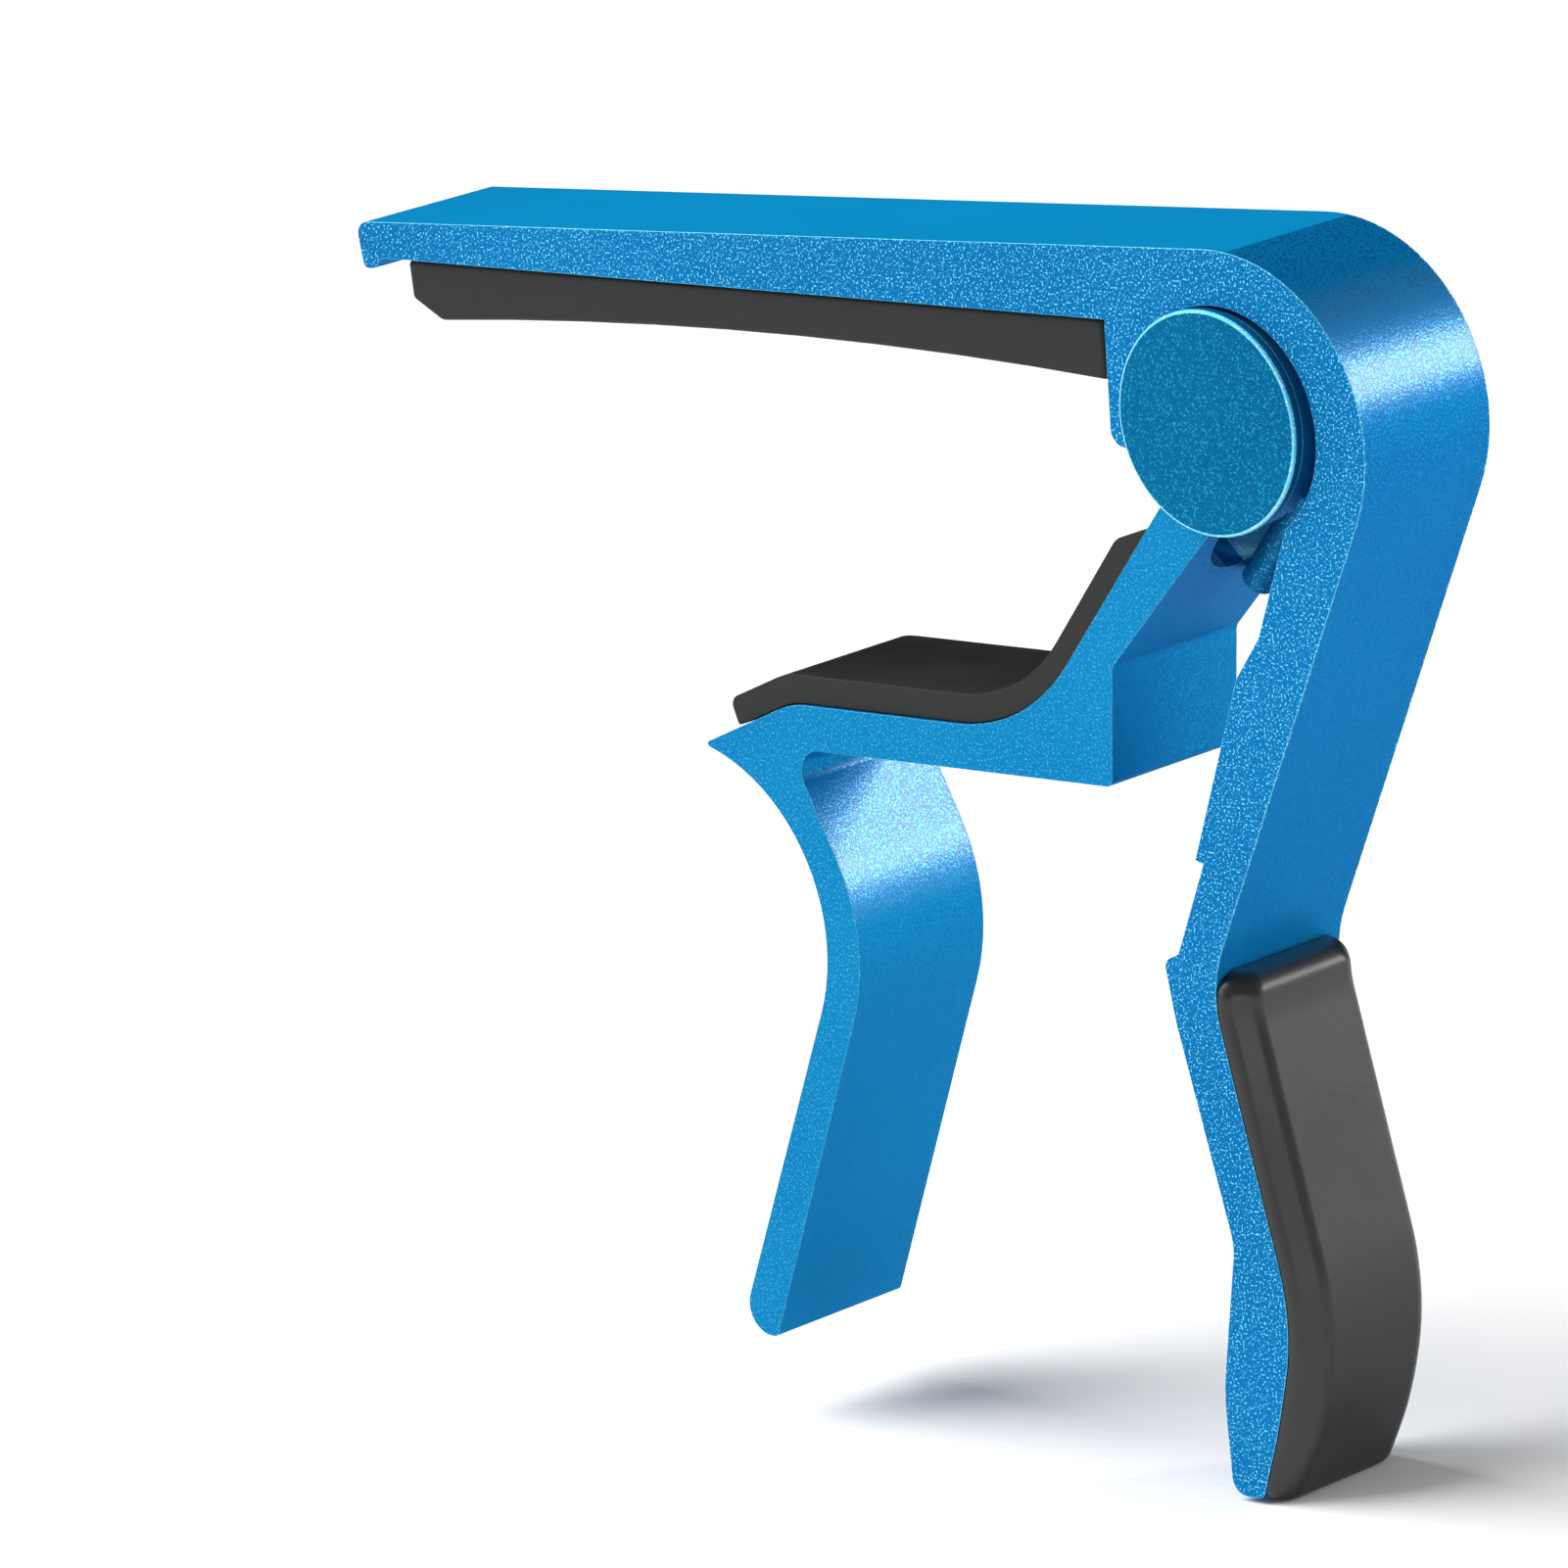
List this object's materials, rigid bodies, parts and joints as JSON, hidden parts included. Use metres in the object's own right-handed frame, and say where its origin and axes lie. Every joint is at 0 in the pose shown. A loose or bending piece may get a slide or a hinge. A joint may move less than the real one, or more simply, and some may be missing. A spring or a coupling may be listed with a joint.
{
  "type": "guitar capo",
  "caption": "Trigger guitar capo: a padded flat bar on a handled arm and a padded neck cradle with a trigger, on one sprung pivot.",
  "frame": {"origin": "middle of the bar pad's string face, where it rests on the strings over the middle of the neck", "axes": "+X along the bar towards the hinge, +Y across the capo parallel to the hinge axis, +Z from the strings up towards the bar"},
  "size_m": [0.0865, 0.014, 0.0812],
  "materials": {
    "blue_metal": "bead-blasted aluminium coated in a semi-gloss metallic blue, with fine sparkle",
    "blue_spring": "spring steel wire in the same metallic blue",
    "silicone": "matt dark grey silicone",
    "grip_rubber": "satin charcoal rubber",
    "steel": "turned steel",
    "nylon": "natural nylon"
  },
  "bodies": {
    "upper": {"upper_arm": "blue_metal", "bar_pad": "silicone", "handle_grip": "grip_rubber", "thrust_washer_front": "nylon", "thrust_washer_rear": "nylon", "torsion_spring": "blue_spring"},
    "jaw": {"lower_jaw": "blue_metal", "jaw_pad": "silicone", "hinge_cap_front": "blue_metal", "hinge_cap_rear": "blue_metal", "hinge_sleeve": "steel", "hinge_screw": "steel", "spring_bushing": "nylon"}
  },
  "joints": [
    {"name": "jaw_pivot", "type": "hinge", "parent": "upper", "child": "jaw", "pos_m": [0.0385, 0, -0.0029], "axis": [0, -1, 0], "range_deg": [-25, 15], "stiffness_Nm_per_rad": 1.2, "deforming": ["torsion_spring"]}
  ]
}
